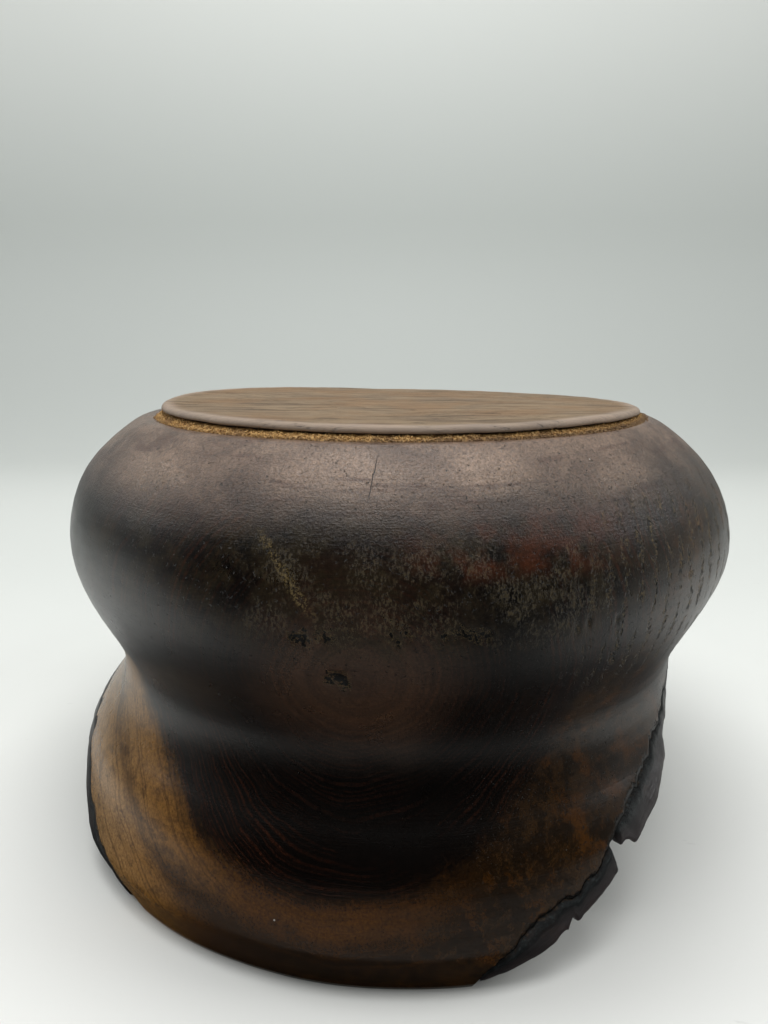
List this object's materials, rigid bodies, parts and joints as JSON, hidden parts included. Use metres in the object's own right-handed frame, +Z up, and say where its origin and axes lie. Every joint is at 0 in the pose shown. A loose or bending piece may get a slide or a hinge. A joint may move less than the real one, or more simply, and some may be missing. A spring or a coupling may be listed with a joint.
{
  "type": "bowl",
  "caption": "Turned wooden bowl with a round belly, narrow waist and flared rim with a natural bark edge, on a separate foot disc; stored upside down on its rim.",
  "frame": {"origin": "on the turning axis, in the plane that the rim rests on", "axes": "+Z up, out of the face of the foot disc; +X across the log towards the deeper bark edge; +Y along the log"},
  "size_m": [0.2048, 0.214, 0.1266],
  "materials": {
    "body_wood": "satin finish, dark heartwood with golden brown sapwood",
    "foot_wood": "dull, sanded and weathered",
    "joint_filler": "matt, granular glue and wood dust",
    "bark": "rough, thinly coated"
  },
  "bodies": {
    "root": {"bowl_body": "body_wood", "foot_disc": "foot_wood", "foot_joint_filler": "joint_filler", "bark_right_front": "bark", "bark_right_side": "bark", "bark_left": "bark"}
  },
  "joints": []
}
